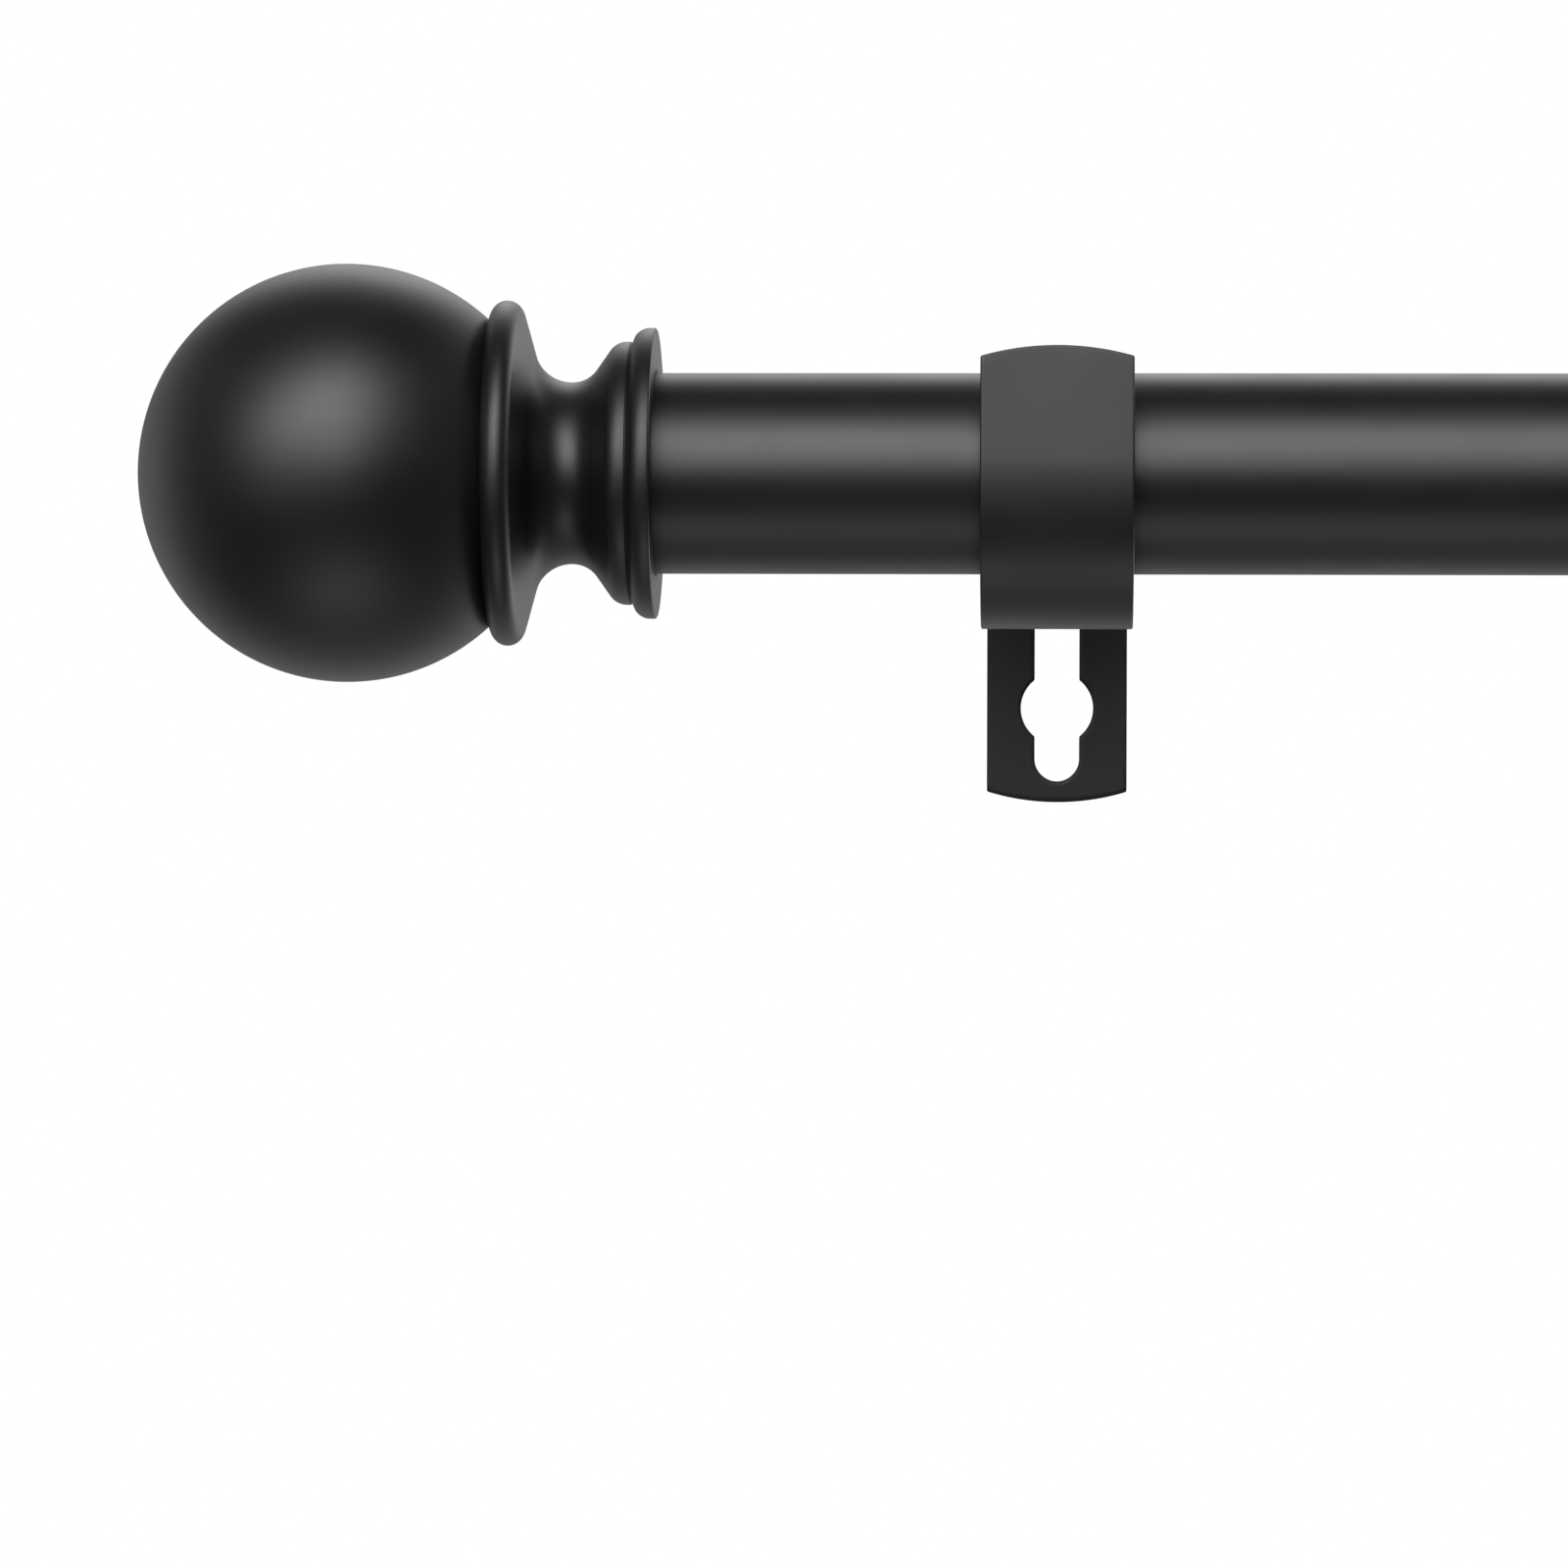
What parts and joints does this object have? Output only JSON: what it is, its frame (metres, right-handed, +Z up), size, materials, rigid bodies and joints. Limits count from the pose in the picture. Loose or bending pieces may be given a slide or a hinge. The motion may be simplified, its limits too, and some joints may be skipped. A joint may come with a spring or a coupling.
{
  "type": "curtain rod with brackets",
  "caption": "Telescoping metal curtain rod with ball finials, lying in two adjustable hook brackets with keyhole wall plates.",
  "frame": {"origin": "on the wall face of the left bracket, in the middle of its keyhole's round opening", "axes": "+X runs along the rod from the left finial to the right one, +Y points into the wall, +Z is up"},
  "size_m": [0.8916, 0.1025, 0.0714],
  "materials": {
    "powder_coat": "satin black powder coat, with a faint orange peel",
    "black_zinc": "black zinc plated steel, knurled",
    "zinc": "bright zinc plated steel",
    "nylon": "black moulded nylon, matte",
    "rubber": "black rubber, matte"
  },
  "bodies": {
    "left_wall_bracket": {"left_wall_bracket": "powder_coat", "left_arm_nut": "black_zinc"},
    "left_arm_screw": {"left_arm_screw": "black_zinc"},
    "left_hook": {"left_rod_hook": "powder_coat", "left_rod_saddle": "rubber"},
    "left_set_screw": {"left_set_screw": "black_zinc"},
    "right_wall_bracket": {"right_wall_bracket": "powder_coat", "right_arm_nut": "black_zinc"},
    "right_arm_screw": {"right_arm_screw": "black_zinc"},
    "right_hook": {"right_rod_hook": "powder_coat", "right_rod_saddle": "rubber"},
    "right_set_screw": {"right_set_screw": "black_zinc"},
    "outer_rod": {"outer_tube": "powder_coat", "mouth_bush": "nylon", "left_end_plug": "nylon", "left_plug_nut": "zinc"},
    "inner_rod": {"inner_tube": "powder_coat", "tail_plug": "nylon", "right_end_plug": "nylon", "right_plug_nut": "zinc"},
    "left_finial": {"left_finial_ball": "powder_coat", "left_finial_neck": "powder_coat", "left_finial_stud": "zinc"},
    "right_finial": {"right_finial_ball": "powder_coat", "right_finial_neck": "powder_coat", "right_finial_stud": "zinc"}
  },
  "joints": [
    {"name": "left_hook_slide", "type": "slide", "parent": "left_wall_bracket", "child": "left_hook", "axis": [0, -1, 0], "range_m": [-0.012, 0.012]},
    {"name": "rod_lift", "type": "slide", "parent": "left_hook", "child": "outer_rod", "axis": [0, 0, 1], "range_m": [0, 0.035]},
    {"name": "telescope", "type": "slide", "parent": "outer_rod", "child": "inner_rod", "axis": [1, 0, 0], "range_m": [-0.04, 0.45]},
    {"name": "right_bracket_place", "type": "slide", "parent": "left_wall_bracket", "child": "right_wall_bracket", "axis": [1, 0, 0], "range_m": [-0.04, 0.45]},
    {"name": "right_hook_slide", "type": "slide", "parent": "right_wall_bracket", "child": "right_hook", "axis": [0, -1, 0], "range_m": [-0.012, 0.012]},
    {"name": "left_finial_turn", "type": "hinge", "parent": "outer_rod", "child": "left_finial", "pos_m": [-0.05065, -0.076, 0.032], "axis": [-1, 0, 0], "continuous": true},
    {"name": "left_set_screw_turn", "type": "hinge", "parent": "left_hook", "child": "left_set_screw", "pos_m": [0, -0.076, 0.0285], "axis": [0, 0.866, -0.5], "continuous": true},
    {"name": "left_arm_screw_turn", "type": "hinge", "parent": "left_wall_bracket", "child": "left_arm_screw", "pos_m": [0, -0.036, 0.032], "axis": [0, 0, 1], "continuous": true},
    {"name": "right_finial_turn", "type": "hinge", "parent": "inner_rod", "child": "right_finial", "pos_m": [0.70935, -0.076, 0.032], "axis": [1, 0, 0], "continuous": true},
    {"name": "right_set_screw_turn", "type": "hinge", "parent": "right_hook", "child": "right_set_screw", "pos_m": [0.6587, -0.076, 0.0301], "axis": [0, 0.866, -0.5], "continuous": true},
    {"name": "right_arm_screw_turn", "type": "hinge", "parent": "right_wall_bracket", "child": "right_arm_screw", "pos_m": [0.6587, -0.036, 0.0336], "axis": [0, 0, 1], "continuous": true}
  ],
  "couplings": [
    {"joint": "right_bracket_place", "follows": "telescope", "ratio": 1},
    {"joint": "right_hook_slide", "follows": "left_hook_slide", "ratio": 1}
  ]
}
